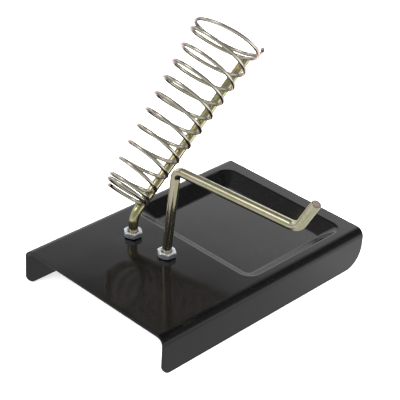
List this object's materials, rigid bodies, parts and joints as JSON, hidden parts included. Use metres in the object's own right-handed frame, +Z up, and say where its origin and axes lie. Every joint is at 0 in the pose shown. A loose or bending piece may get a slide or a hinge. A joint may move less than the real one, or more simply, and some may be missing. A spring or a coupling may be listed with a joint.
{
  "type": "soldering iron stand",
  "caption": "Bench stand for a soldering iron: a pressed steel base with a tray, a leaning coil that holds the iron, and a bent rest rod, both clamped by hexagon nuts.",
  "frame": {"origin": "on the table, under the centre of the whole outline (centre of the bounding box's lower face)", "axes": "+X along the base towards the tray, +Y across the base towards the post that carries the coil, +Z up"},
  "size_m": [0.133, 0.1238, 0.1173],
  "materials": {
    "black_paint": "satin to gloss black paint",
    "yellow_zinc_rod": "yellow chromated zinc on drawn steel rod",
    "yellow_zinc_wire": "yellow chromated zinc on steel wire",
    "bright_zinc": "bright blue-white zinc on steel nuts"
  },
  "bodies": {
    "base": {"base_plate": "black_paint"},
    "holder": {"holder_post": "yellow_zinc_rod", "holder_coil": "yellow_zinc_wire"},
    "rest": {"rest_rod": "yellow_zinc_rod"},
    "holder_top_nut": {"holder_upper_nut": "bright_zinc"},
    "holder_bottom_nut": {"holder_lower_nut": "bright_zinc"},
    "rest_top_nut": {"rest_upper_nut": "bright_zinc"},
    "rest_bottom_nut": {"rest_lower_nut": "bright_zinc"}
  },
  "joints": [
    {"name": "holder_swivel", "type": "hinge", "parent": "base", "child": "holder", "pos_m": [-0.0216, 0.03832, 0.0194], "axis": [0, 0, 1], "range_deg": [-30, 135]},
    {"name": "rest_swivel", "type": "hinge", "parent": "base", "child": "rest", "pos_m": [-0.0216, 0.01577, 0.0194], "axis": [0, 0, 1], "range_deg": [-135, 60]},
    {"name": "holder_upper_nut_turn", "type": "hinge", "parent": "holder", "child": "holder_top_nut", "pos_m": [-0.0216, 0.03832, 0.0197], "axis": [0, 0, 1], "continuous": true},
    {"name": "holder_lower_nut_turn", "type": "hinge", "parent": "holder", "child": "holder_bottom_nut", "pos_m": [-0.0216, 0.03832, 0.0179], "axis": [0, 0, 1], "continuous": true},
    {"name": "rest_upper_nut_turn", "type": "hinge", "parent": "rest", "child": "rest_top_nut", "pos_m": [-0.0216, 0.01577, 0.0197], "axis": [0, 0, 1], "continuous": true},
    {"name": "rest_lower_nut_turn", "type": "hinge", "parent": "rest", "child": "rest_bottom_nut", "pos_m": [-0.0216, 0.01577, 0.0179], "axis": [0, 0, 1], "continuous": true}
  ]
}
